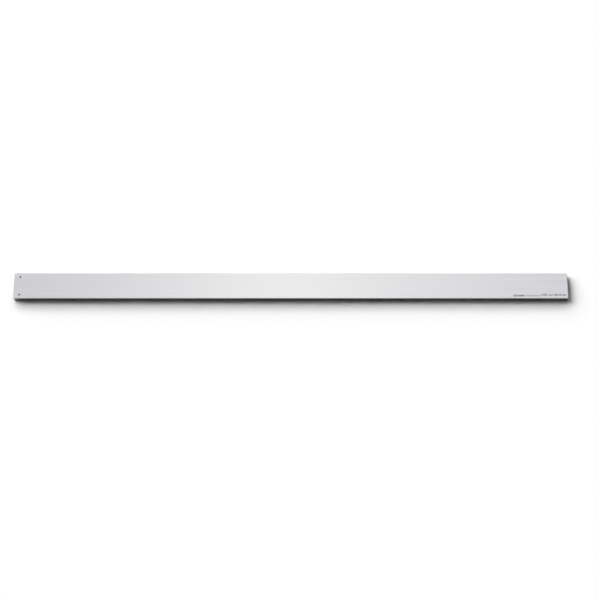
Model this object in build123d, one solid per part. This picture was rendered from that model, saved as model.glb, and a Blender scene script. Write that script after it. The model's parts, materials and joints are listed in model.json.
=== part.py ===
"""Flat straight edge: one ground steel bar with broken edges and two small hanging holes at one end.

The bar lies on its lower broad face. The origin is the centre of that face, +X runs along the length
away from the holes, +Y runs across to the far measuring face and +Z runs up through the thickness.
"""

import os

from build123d import *

# Driving dimensions, in millimetres.
LENGTH = 1000.0
WIDTH = 50.0
THICKNESS = 10.0

# The long edges and the rims of both ends are broken by a small chamfer, and the upright corners by a larger one.
RIM_CHAMFER = 0.5
CORNER_CHAMFER = 1.0

# A through hole stands near each corner of the left end, with both of its mouths chamfered.
HOLE_DIAMETER = 3.0
HOLE_CHAMFER = 0.3
HOLE_FROM_END = 10.0
HOLE_FROM_EDGE = 7.5


def ground_blank():
    """The bar before drilling: a rectangle with cut corners, extruded, with both of its rims chamfered."""
    outline = chamfer(Rectangle(LENGTH, WIDTH).vertices(), CORNER_CHAMFER)
    blank = extrude(outline, THICKNESS)
    broad_faces = blank.faces().filter_by(Axis.Z)
    return chamfer(broad_faces.edges(), RIM_CHAMFER)


def hole_places():
    """The middle of each hole, halfway up the thickness: one near each measuring face."""
    along = HOLE_FROM_END - LENGTH / 2
    across = WIDTH / 2 - HOLE_FROM_EDGE
    return [Pos(along, side * across, THICKNESS / 2) for side in (-1, 1)]


def straight_edge_bar():
    """The finished bar: the blank with its holes drilled through and their mouths chamfered."""
    drill = Cylinder(HOLE_DIAMETER / 2, THICKNESS)
    bar = ground_blank() - [place * drill for place in hole_places()]
    mouths = bar.edges().filter_by(GeomType.CIRCLE)
    return chamfer(mouths, HOLE_CHAMFER)


os.makedirs("parts", exist_ok=True)
export_step(straight_edge_bar(), "parts/straight_edge_bar.step")
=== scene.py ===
# %% [markdown]
# A straight edge is one long bar of steel that is trusted to be straight. The bar itself is loaded ready
# made, at its true size, and nothing here moves it. What is left for Blender is how it looks: the camera,
# the studio around it, the ground steel of its faces, and the small print near one corner.

# %% Load the bar
import json
import math

import bmesh
import bpy
import numpy as np
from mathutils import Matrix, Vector


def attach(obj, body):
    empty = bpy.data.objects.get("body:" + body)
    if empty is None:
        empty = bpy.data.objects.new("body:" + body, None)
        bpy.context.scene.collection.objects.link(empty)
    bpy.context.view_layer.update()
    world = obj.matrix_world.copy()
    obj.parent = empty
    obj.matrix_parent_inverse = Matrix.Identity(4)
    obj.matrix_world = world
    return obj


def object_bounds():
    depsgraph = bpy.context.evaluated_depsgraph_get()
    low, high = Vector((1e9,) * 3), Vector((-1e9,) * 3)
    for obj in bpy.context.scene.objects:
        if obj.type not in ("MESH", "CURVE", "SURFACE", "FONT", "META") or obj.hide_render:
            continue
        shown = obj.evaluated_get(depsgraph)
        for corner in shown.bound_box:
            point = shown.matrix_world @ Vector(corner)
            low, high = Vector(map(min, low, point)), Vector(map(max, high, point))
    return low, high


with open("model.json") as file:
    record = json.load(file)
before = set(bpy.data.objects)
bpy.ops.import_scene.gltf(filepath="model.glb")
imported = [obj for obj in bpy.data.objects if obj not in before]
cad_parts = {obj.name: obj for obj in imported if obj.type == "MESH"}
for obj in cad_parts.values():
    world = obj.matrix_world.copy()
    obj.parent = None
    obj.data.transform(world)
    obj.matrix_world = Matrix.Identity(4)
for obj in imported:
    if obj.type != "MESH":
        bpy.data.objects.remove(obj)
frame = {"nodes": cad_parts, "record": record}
cad_low, cad_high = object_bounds()
bar = frame["nodes"]["straight_edge_bar"]
holes = [mount for mount in frame["record"]["mounts"] if mount["kind"] == "bore"]
print(f"bar from {tuple(cad_low)} to {tuple(cad_high)}, {len(bar.data.polygons)} faces, {len(holes)} holes")

# %% [markdown]
# Sizes on the bar are written in millimetres, as on a drawing, and multiplied by MM, because Blender works
# in metres. The bar lies along X with its top face at TOP.
#
# The picture is taken from far away with a long lens, well above the front of the bar: the far long side
# looks only half a percent shorter than the near one, and that is what gives the distance.

# %% Place the camera
MM = 0.001
TOP = cad_high.z
CAMERA_ELEVATION = math.radians(64.8)
CAMERA_DISTANCE = 3.77
LENS_MM = 126.0
SENSOR_MM = 36.0
AIM = Vector((14.6 * MM, -26.4 * MM, TOP))


def link_object(name, data):
    """A new object at the origin, unturned and unscaled, linked to the scene."""
    made = bpy.data.objects.new(name, data)
    bpy.context.scene.collection.objects.link(made)
    return made


def look_from_front(name, aim, elevation, distance):
    """A camera at aim + distance * (0, -cos elevation, sin elevation), which looks back at aim."""
    data = bpy.data.cameras.new(name)
    data.lens = LENS_MM
    data.sensor_width = SENSOR_MM
    camera = link_object(name, data)
    camera.location = aim + distance * Vector((0.0, -math.cos(elevation), math.sin(elevation)))
    camera.rotation_euler = (math.pi / 2 - elevation, 0.0, 0.0)
    return camera


camera = look_from_front("studio_camera", AIM, CAMERA_ELEVATION, CAMERA_DISTANCE)
bpy.context.scene.camera = camera
print("camera at", [round(v, 3) for v in camera.location])

# %% [markdown]
# A shader is a small network of nodes, and building one by hand takes three calls for each node: make it,
# set its values, wire it. One helper does all three, so that a material reads as a list of what feeds what.
# A dictionary gives the inputs, and each is either a plain value or the output of another node.

# %% Helpers for shader nodes
def fill_input(tree, socket, value):
    """Wires the socket to an output, or gives it a plain value."""
    if isinstance(value, bpy.types.NodeSocket):
        tree.links.new(value, socket)
    else:
        socket.default_value = value


def add_node(tree, kind, inputs=None, **settings):
    """A new node of the named kind, with its settings made and its inputs filled."""
    node = tree.nodes.new("ShaderNode" + kind)
    for name, value in settings.items():
        setattr(node, name, value)
    for socket, value in (inputs or {}).items():
        fill_input(tree, node.inputs[socket], value)
    return node


def calculate(tree, operation, *values):
    """The result of a Math node on one, two or three values."""
    return add_node(tree, "Math", dict(enumerate(values)), operation=operation).outputs[0]


def calculate_vector(tree, operation, *values):
    """The vector result of a Vector Math node."""
    return add_node(tree, "VectorMath", dict(enumerate(values)), operation=operation).outputs[0]


def blend(tree, mask, low, high):
    """low where the mask is 0, high where it is 1, and in proportion between."""
    return add_node(tree, "MapRange", {"Value": mask, "To Min": low, "To Max": high}).outputs[0]


def blend_colour(tree, mask, first, second):
    """The first colour where the mask is 0 and the second where it is 1."""
    node = add_node(tree, "Mix", data_type="RGBA")
    for socket, value in zip((node.inputs[0], node.inputs[6], node.inputs[7]), (mask, first, second)):
        fill_input(tree, socket, value)
    return node.outputs[2]


def bare_material(name):
    """A material whose node tree is still empty."""
    material = bpy.data.materials.new(name)
    material.use_nodes = True
    material.node_tree.nodes.clear()
    return material


def seen_directly(tree):
    """1 on rays from the camera, a mirror or a glass, and 0 on rays that light matt surfaces."""
    path = add_node(tree, "LightPath")
    shiny = calculate(tree, "MAXIMUM", path.outputs["Is Glossy Ray"], path.outputs["Is Transmission Ray"])
    direct = calculate(tree, "MAXIMUM", shiny, path.outputs["Is Camera Ray"])
    before_matt = calculate(tree, "LESS_THAN", path.outputs["Diffuse Depth"], 0.5)
    return calculate(tree, "MULTIPLY", direct, before_matt)


# %% [markdown]
# The ground is a plain sheet of matt white paper, wide enough that its edge never shows.

# %% Lay the floor
FLOOR_SIZE = 16.0
FLOOR_GAP = 0.02 * MM
FLOOR_COLOUR = (0.94, 0.94, 0.94, 1.0)


def flat_sheet(name, size, height):
    """A square sheet that faces up: its corners are at half the size each way, at one height."""
    half = size / 2
    corners = [(-half, -half, height), (half, -half, height), (half, half, height), (-half, half, height)]
    mesh = bpy.data.meshes.new(name)
    mesh.from_pydata(corners, [], [(0, 1, 2, 3)])
    return link_object(name, mesh)


def white_paper():
    """Plain matt white."""
    material = bare_material("white_paper")
    tree = material.node_tree
    paper = add_node(tree, "BsdfDiffuse", {"Color": FLOOR_COLOUR})
    add_node(tree, "OutputMaterial", {"Surface": paper.outputs[0]})
    return material


floor = flat_sheet("floor", FLOOR_SIZE, cad_low.z - FLOOR_GAP)
floor.data.materials.append(white_paper())
print("floor", floor.dimensions[:])

# %% [markdown]
# The room is white to the camera and in the steel, and gives matt surfaces no light at all: only the lamps
# light the ground, so the shadow stays deep while the metal still mirrors a white studio.

# %% Paint the room
ROOM_WHITE = (1.0, 1.0, 1.0, 1.0)


def white_room():
    """A white world on the rays that see it directly, and a black one on all others."""
    world = bpy.data.worlds.new("white_room")
    world.use_nodes = True
    tree = world.node_tree
    tree.nodes.clear()
    light = add_node(tree, "Background", {"Color": ROOM_WHITE, "Strength": seen_directly(tree)})
    add_node(tree, "OutputWorld", {"Surface": light.outputs[0]})
    return world


bpy.context.scene.world = white_room()

# %% [markdown]
# The ground has three lamps. One very broad lamp stands low behind the bar and to its left: light that wide,
# coming over an edge ten millimetres high, makes a shadow that is dark at the foot of the bar and gone three
# centimetres away. A weaker one at the left opens up the foot of that shadow, and a small one behind draws
# it out a little past the right end. No mirror shows them.
#
# The steel has its own light: two softboxes side by side, high behind the bar, at the place that the top
# face mirrors into the lens. The narrow one gives the pale middle of the bar, and the broad one lets it
# fade evenly towards the ends. They leave the ground alone.

# %% Set up the lamps
MAIN_LAMP = {"elevation": 15.1, "left_of_back": 48.4, "angle": 72.6, "strength": 9.25}
LEFT_LAMP = {"elevation": 37.9, "left_of_back": 99.9, "angle": 37.2, "strength": 0.354}
BACK_LAMP = {"elevation": 22.9, "left_of_back": -18.2, "angle": 12.6, "strength": 1.08}
SOFTBOX_HEIGHT = 1.7
SOFTBOX_DEPTH = 1.0
SOFTBOX_COLOUR = (1.0, 0.985, 0.785)
NARROW_SOFTBOX = {"right": -0.027, "width": 0.25, "power": 1.02}
BROAD_SOFTBOX = {"right": 0.09, "width": 1.2, "power": 1.265}


def add_lamp(name, kind, place, target, **settings):
    """A lamp at a place, with its -Z axis towards the target."""
    data = bpy.data.lights.new(name, kind)
    for setting, value in settings.items():
        setattr(data, setting, value)
    lamp = link_object(name, data)
    lamp.location = place
    lamp.rotation_euler = (Vector(target) - Vector(place)).to_track_quat("-Z", "Y").to_euler()
    lamp.visible_camera = False
    return lamp


def add_far_lamp(name, elevation, left_of_back, angle, strength):
    """A distant lamp towards (-cos e sin a, cos e cos a, sin e), angles in degrees, that no mirror shows."""
    e, a = math.radians(elevation), math.radians(left_of_back)
    towards = Vector((-math.cos(e) * math.sin(a), math.cos(e) * math.cos(a), math.sin(e)))
    lamp = add_lamp(name, "SUN", 3 * towards, (0, 0, 0), energy=strength, angle=math.radians(angle))
    lamp.visible_glossy = False
    return lamp


def add_softbox(name, right, width, power):
    """A rectangular lamp that only mirrors show, facing down the line on which the top face shows it."""
    place = (right, SOFTBOX_HEIGHT / math.tan(CAMERA_ELEVATION), SOFTBOX_HEIGHT)
    lamp = add_lamp(
        name, "AREA", place, (right, 0, 0),
        shape="RECTANGLE", size=width, size_y=SOFTBOX_DEPTH, energy=power, color=SOFTBOX_COLOUR,
    )
    lamp.visible_diffuse = False
    return lamp


lamps = [
    add_far_lamp("main_lamp", **MAIN_LAMP),
    add_far_lamp("left_lamp", **LEFT_LAMP),
    add_far_lamp("back_lamp", **BACK_LAMP),
    add_softbox("narrow_softbox", **NARROW_SOFTBOX),
    add_softbox("broad_softbox", **BROAD_SOFTBOX),
]
for lamp in lamps:
    print(lamp.name, "at", [round(v, 2) for v in lamp.location])

# %% [markdown]
# Ground steel is covered with hairlines that all run one way, the way the grinding table travelled. They
# are noise that is stretched a few hundred times along the line, at two widths: bands that still show from
# a step away, and hairs that show close up. A few deeper scratches stand out from them. Every face of the
# bar uses the same effect with its own widths and direction, so it is built once, as a node group.

# %% The grinding marks
HAIR_SHARE = 0.5


def shader_group(name, inputs, outputs):
    """An empty node group with the named sockets, and its input and output nodes."""
    tree = bpy.data.node_groups.new(name, "ShaderNodeTree")
    for direction, sockets in (("INPUT", inputs), ("OUTPUT", outputs)):
        for label, kind in sockets.items():
            tree.interface.new_socket(label, in_out=direction, socket_type="NodeSocket" + kind)
    return tree, tree.nodes.new("NodeGroupInput").outputs, tree.nodes.new("NodeGroupOutput").inputs


def build_grinding_marks():
    """Hairlines along X: noise at the place times (1 / line length, 1 / line width, 1 / line width)."""
    inputs = {"Place": "Vector", "Line Length": "Float", "Line Width": "Float"}
    tree, given, put_out = shader_group("grinding_marks", inputs, {"Lines": "Float", "Scratches": "Float"})
    across = calculate(tree, "DIVIDE", 1.0, given["Line Width"])
    along = calculate(tree, "DIVIDE", 1.0, given["Line Length"])
    scale = add_node(tree, "CombineXYZ", {"X": along, "Y": across, "Z": across}).outputs[0]
    stretched = calculate_vector(tree, "MULTIPLY", given["Place"], scale)
    wide = calculate_vector(tree, "MULTIPLY", stretched, (0.25, 0.2, 0.2))
    sparse = calculate_vector(tree, "MULTIPLY", stretched, (0.6, 0.45, 0.45))
    hairs = add_node(tree, "TexNoise", {"Vector": stretched, "Scale": 1.0, "Detail": 2.0})
    bands = add_node(tree, "TexNoise", {"Vector": wide, "Scale": 1.0, "Detail": 3.0})
    marks = add_node(tree, "TexNoise", {"Vector": sparse, "Scale": 1.0, "Detail": 1.0})
    most_hairs = calculate(tree, "MULTIPLY", hairs.outputs[0], HAIR_SHARE)
    mixed = calculate(tree, "MULTIPLY_ADD", bands.outputs[0], 1.0 - HAIR_SHARE, most_hairs)
    lines = add_node(tree, "MapRange", {"Value": mixed, "From Min": 0.3, "From Max": 0.7})
    deep = add_node(tree, "MapRange", {"Value": marks.outputs[0], "From Min": 0.66, "From Max": 0.74})
    tree.links.new(lines.outputs[0], put_out["Lines"])
    tree.links.new(deep.outputs[0], put_out["Scratches"])
    return tree


grinding_marks = build_grinding_marks()


def add_grinding(tree, place, line_length, line_width):
    """The outputs of the grinding marks, set to one line length and width."""
    node = tree.nodes.new("ShaderNodeGroup")
    node.node_tree = grinding_marks
    for socket, value in (("Place", place), ("Line Length", line_length), ("Line Width", line_width)):
        fill_input(tree, node.inputs[socket], value)
    return node.outputs


# %% [markdown]
# The bar is one piece of steel with five kinds of surface. The broad faces are ground to a pale satin. The
# two narrow measuring faces are ground again, finer, because they do the measuring, and that leaves them
# closer to a mirror; their colour is also painted darker, painted shade for the dark shadow that they mirror
# at the foot of the bar. The ends are cut across and left duller, the broken edges are stoned smooth and
# painted darker, painted shade along the edges, and the holes are drilled.
#
# One material tells them apart by the direction that a face points in, and the holes by how far a point is
# from the axis of the nearest one, so that no face has to be picked by hand.

# %% The ground steel
STEEL = (0.642, 0.646, 0.686, 1.0)
STEEL_LINE = (0.542, 0.545, 0.580, 1.0)
# Painted shade: the broken edges are coloured darker than the broad faces, so that the edges read as shaded.
BROKEN_EDGE_PAINTED_SHADE = (0.30, 0.30, 0.31, 1.0)
# Painted shade: the measuring faces are coloured darker, for the dark shadow that they mirror at the foot of the
# bar.
MEASURING_STEEL_PAINTED_SHADE = (0.34, 0.34, 0.35, 1.0)
END_STEEL = (0.45, 0.45, 0.47, 1.0)
DRILLED_STEEL = (0.55, 0.55, 0.57, 1.0)
BROAD_FACE_LINES = (90 * MM, 0.4 * MM)
MEASURING_FACE_LINES = (60 * MM, 0.15 * MM)
END_FACE_LINES = (12 * MM, 0.25 * MM)
FACE_LIMIT = 0.9
HOLE_REACH = 0.1 * MM
HOLE_RIM = 0.8 * MM
LINE_DEPTH = 0.02 * MM
STEEL_ANISOTROPY = 0.4

# Each of these has five values: for the broad faces, the measuring faces, the ends, the broken edges and the
# holes. The first two are the roughness along the smoothest and the roughest line.
SMOOTHEST = (0.31, 0.08, 0.36, 0.25, 0.40)
ROUGHEST = (0.43, 0.16, 0.46, 0.35, 0.60)
RELIEF = (1.0, 0.2, 0.4, 0.0, 0.8)
NO_LINES = 0.5
SCRATCH_DEPTH = 0.6


def distance_from_holes(tree, place):
    """How far a point is from the axis of the nearest hole, in metres."""
    nearest = None
    for hole in holes:
        from_axis = calculate_vector(tree, "SUBTRACT", place, hole["pos_m"])
        flat = calculate_vector(tree, "MULTIPLY", from_axis, (1.0, 1.0, 0.0))
        distance = add_node(tree, "VectorMath", {0: flat}, operation="LENGTH").outputs["Value"]
        nearest = distance if nearest is None else calculate(tree, "MINIMUM", nearest, distance)
    return nearest


def ground_steel():
    """Steel whose colour, shine and hairlines depend on which way the face points."""
    material = bare_material("ground_steel")
    tree = material.node_tree
    coordinates = add_node(tree, "TexCoord").outputs
    place = coordinates["Object"]
    facing = calculate_vector(tree, "ABSOLUTE", coordinates["Normal"])
    side = add_node(tree, "SeparateXYZ", {0: facing}).outputs
    hole_radius = holes[0]["dims"]["r_mm"] * MM
    distance = distance_from_holes(tree, place)
    drilled = calculate(tree, "LESS_THAN", distance, hole_radius + HOLE_REACH)
    outside = calculate(tree, "GREATER_THAN", distance, hole_radius + HOLE_RIM)
    measuring = calculate(tree, "GREATER_THAN", side["Y"], FACE_LIMIT)
    end = calculate(tree, "GREATER_THAN", side["X"], FACE_LIMIT)
    squarest = calculate(tree, "MAXIMUM", calculate(tree, "MAXIMUM", side["X"], side["Y"]), side["Z"])
    broken = calculate(tree, "MULTIPLY", calculate(tree, "LESS_THAN", squarest, FACE_LIMIT), outside)

    broad_marks = add_grinding(tree, place, *BROAD_FACE_LINES)
    fine_marks = add_grinding(tree, place, *MEASURING_FACE_LINES)
    turn = add_node(tree, "SeparateXYZ", {0: place}).outputs
    crossed = add_node(tree, "CombineXYZ", {"X": turn["Y"], "Y": turn["Z"], "Z": turn["X"]}).outputs[0]
    end_marks = add_grinding(tree, crossed, *END_FACE_LINES)

    def by_face(mix, broad, narrow, cut, edge, bored):
        """Picks the value for the kind of face: broad, measuring, end, broken edge or drilled."""
        picked = mix(tree, measuring, broad, narrow)
        picked = mix(tree, end, picked, cut)
        picked = mix(tree, broken, picked, edge)
        return mix(tree, drilled, picked, bored)

    broad_lines, fine_lines, end_lines = (marks["Lines"] for marks in (broad_marks, fine_marks, end_marks))
    lines = by_face(blend, broad_lines, fine_lines, end_lines, NO_LINES, end_lines)
    broad_colour = blend_colour(tree, broad_lines, STEEL_LINE, STEEL)
    # The measuring faces and the broken edges get painted shade here, through their darker colours.
    colour = by_face(blend_colour, broad_colour, MEASURING_STEEL_PAINTED_SHADE, END_STEEL, BROKEN_EDGE_PAINTED_SHADE, DRILLED_STEEL)
    roughness = blend(tree, lines, by_face(blend, *SMOOTHEST), by_face(blend, *ROUGHEST))
    deep = (marks["Scratches"] for marks in (broad_marks, fine_marks, end_marks))
    scratches = by_face(blend, *deep, 0.0, 0.0)
    marked = calculate(tree, "MULTIPLY_ADD", scratches, -SCRATCH_DEPTH, lines)
    height = calculate(tree, "MULTIPLY", marked, by_face(blend, *RELIEF))
    bump = add_node(tree, "Bump", {"Height": height, "Distance": LINE_DEPTH, "Strength": 1.0})

    outward = add_node(tree, "NewGeometry").outputs["Normal"]
    across_lines = calculate_vector(tree, "CROSS_PRODUCT", outward, (1.0, 0.0, 0.0))
    upright = calculate(tree, "MAXIMUM", end, drilled)
    tangent = add_node(tree, "Mix", {0: upright, 4: across_lines, 5: (0.0, 0.0, 1.0)}, data_type="VECTOR")

    steel = add_node(
        tree, "BsdfPrincipled",
        {
            "Base Color": colour, "Roughness": roughness, "Metallic": 1.0,
            "Normal": bump.outputs[0], "Anisotropic": STEEL_ANISOTROPY, "Tangent": tangent.outputs[1],
        },
    )
    add_node(tree, "OutputMaterial", {"Surface": steel.outputs[0]})
    return material


bar.data.materials.clear()
bar.data.materials.append(ground_steel())
print("ground steel on", bar.name)

# %% [markdown]
# The print is a row of small marks along the near edge, close to the end without holes. It is a film of dark
# ink, so each mark is a thin closed plate that starts just inside the steel and stands a hair above it. Bars
# and frames are worked out from their corners, and figures come from a text object that is made a mesh. The
# marks are plain: the sign for straightness with its value, a row of ticks, and the nominal size.

# %% Helpers for the print
INK_SUNK = 0.01 * MM
INK_PROUD = 0.05 * MM
LETTER_SPACING = 1.15


def finish_print(name, mesh):
    """Merges the doubles of a printed mesh, turns its faces outwards and lets it ride on the bar."""
    shape = bmesh.new()
    shape.from_mesh(mesh)
    bmesh.ops.remove_doubles(shape, verts=shape.verts, dist=1e-7)
    bmesh.ops.recalc_face_normals(shape, faces=shape.faces)
    shape.to_mesh(mesh)
    shape.free()
    piece = link_object(name, mesh)
    piece.data.materials.clear()
    piece.data.materials.append(ink)
    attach(piece, "root")
    print(name, len(mesh.polygons), "faces", [round(v / MM, 2) for v in piece.dimensions])
    return piece


def bar_plates(rectangles):
    """Thin boxes over rectangles (left, near, right, far): a corner takes the low or high value on each axis."""
    low = np.insert(np.array(rectangles)[:, :2], 2, TOP - INK_SUNK, axis=1)
    high = np.insert(np.array(rectangles)[:, 2:], 2, TOP + INK_PROUD, axis=1)
    pick = np.array([(x, y, z) for z in (0, 1) for y in (0, 1) for x in (0, 1)])
    corners = np.where(pick[None] == 0, low[:, None], high[:, None]).reshape(-1, 3)
    sides = np.array([(0, 2, 3, 1), (4, 5, 7, 6), (0, 1, 5, 4), (2, 6, 7, 3), (0, 4, 6, 2), (1, 3, 7, 5)])
    faces = (sides[None] + 8 * np.arange(len(low))[:, None, None]).reshape(-1, 4)
    return corners, faces


def frame_plate(left, near, right, far, line):
    """A closed frame: its four corners, drawn in by 0, 0, line and line, at the low, high, high and low side."""
    inset = np.array([0.0, 0.0, line, line])
    height = TOP + np.array([-INK_SUNK, INK_PROUD, INK_PROUD, -INK_SUNK])
    x = np.stack([left + inset, right - inset, right - inset, left + inset])
    y = np.stack([near + inset, near + inset, far - inset, far - inset])
    z = np.tile(height, (4, 1))
    here = np.arange(16).reshape(4, 4)
    onward = np.roll(here, -1, axis=0)
    faces = np.stack([here, onward, np.roll(onward, -1, axis=1), np.roll(here, -1, axis=1)], axis=2)
    return np.stack([x, y, z], axis=2).reshape(-1, 3), faces.reshape(-1, 4)


def printed_plates(name, *plates):
    """One piece from several plates, each its points and faces: a face counts on from the points before it."""
    starts = np.cumsum([0] + [len(points) for points, faces in plates])
    points = np.concatenate([points for points, faces in plates])
    faces = np.concatenate([faces + start for (points_here, faces), start in zip(plates, starts)])
    mesh = bpy.data.meshes.new(name)
    mesh.from_pydata(points.tolist(), [], faces.tolist())
    return finish_print(name, mesh)


def printed_words(name, words, left, right, near, tall, weight):
    """Figures as a thin plate: a text object made a mesh, then stretched to fill a rectangle."""
    text = bpy.data.curves.new(name + "_text", "FONT")
    text.body = words
    text.offset = weight
    text.space_character = LETTER_SPACING
    text.extrude = 0.5
    source = link_object(name + "_source", text)
    mesh = bpy.data.meshes.new_from_object(source.evaluated_get(bpy.context.evaluated_depsgraph_get()))
    bpy.data.objects.remove(source)
    points = np.zeros(len(mesh.vertices) * 3)
    mesh.vertices.foreach_get("co", points)
    points = points.reshape(-1, 3)
    low, high = points.min(axis=0), points.max(axis=0)
    place_low = np.array([left, near, TOP - INK_SUNK])
    place_high = np.array([right, near + tall, TOP + INK_PROUD])
    points = place_low + (points - low) / (high - low) * (place_high - place_low)
    mesh.vertices.foreach_set("co", points.ravel())
    mesh.name = name
    return finish_print(name, mesh)


# %% [markdown]
# The ink is nearly black and matt, a little uneven where it lies over the hairlines of the steel.

# %% The ink
INK_DARK = (0.012, 0.012, 0.013, 1.0)
INK_PALE = (0.040, 0.040, 0.042, 1.0)
INK_ROUGHNESS = (0.5, 0.7)
INK_SHINE = 0.25


def dark_ink():
    """Matt ink whose colour and shine follow the grinding marks underneath."""
    material = bare_material("dark_ink")
    tree = material.node_tree
    place = add_node(tree, "TexCoord").outputs["Object"]
    marks = add_grinding(tree, place, *BROAD_FACE_LINES)
    bump = add_node(tree, "Bump", {"Height": marks["Lines"], "Distance": LINE_DEPTH, "Strength": 0.5})
    paint = add_node(
        tree, "BsdfPrincipled",
        {
            "Base Color": blend_colour(tree, marks["Lines"], INK_DARK, INK_PALE),
            "Roughness": blend(tree, marks["Lines"], *INK_ROUGHNESS),
            "Specular IOR Level": INK_SHINE,
            "Normal": bump.outputs[0],
        },
    )
    add_node(tree, "OutputMaterial", {"Surface": paint.outputs[0]})
    return material


ink = dark_ink()

# %% [markdown]
# Each group keeps the place, the width and the weight that the small print has in the picture. Places are
# measured from the end without holes and from the near edge.

# %% Print the marks
END = cad_high.x
NEAR = cad_low.y
SMALL_LINE = NEAR + 3.75 * MM
TALL_LINE = NEAR + 4.95 * MM
SMALL_HEIGHT = 3.4 * MM
TALL_HEIGHT = 4.0 * MM
SYMBOL_LEFT = END - 98.4 * MM
SYMBOL_RIGHT = END - 92.4 * MM
TICKS_LEFT = END - 78.4 * MM
TICK_COUNT = 15
TICK_PITCH = 2.0 * MM
TICK_THICK = 0.5 * MM
FRAME_LINE = 0.8 * MM
DASH_THICK = 0.5 * MM
DASH_INSET = 1.4 * MM

# The words, the left and right of the space they fill, their line, their height and the weight of their strokes.
WORDS = {
    "printed_straightness": ("0.02", END - 91.0 * MM, END - 79.8 * MM, SMALL_LINE, SMALL_HEIGHT, 0.06),
    "printed_length": ("1000 mm", END - 47.9 * MM, END - 27.4 * MM, TALL_LINE, TALL_HEIGHT, 0.015),
    "printed_section": ("50x10 mm", END - 24.9 * MM, END - 3.8 * MM, TALL_LINE, TALL_HEIGHT, 0.03),
}

symbol_far = SMALL_LINE + SMALL_HEIGHT
dash_near = SMALL_LINE + (SMALL_HEIGHT - DASH_THICK) / 2
dash = (SYMBOL_LEFT + DASH_INSET, dash_near, SYMBOL_RIGHT - DASH_INSET, dash_near + DASH_THICK)
symbol_frame = frame_plate(SYMBOL_LEFT, SMALL_LINE, SYMBOL_RIGHT, symbol_far, FRAME_LINE)
printed_plates("printed_symbol", symbol_frame, bar_plates([dash]))

tick_left = TICKS_LEFT + TICK_PITCH * np.arange(TICK_COUNT)
tick_near = np.full(TICK_COUNT, SMALL_LINE)
ticks = np.stack([tick_left, tick_near, tick_left + TICK_THICK, tick_near + SMALL_HEIGHT], axis=1)
printed_plates("printed_ticks", bar_plates(ticks))

for name, row in WORDS.items():
    printed_words(name, *row)

# %% [markdown]
# The colours are shown as they are written, with no film curve. The print is all that may stand proud, by a
# hair.

# %% Finish
bpy.context.scene.view_settings.view_transform = "Standard"
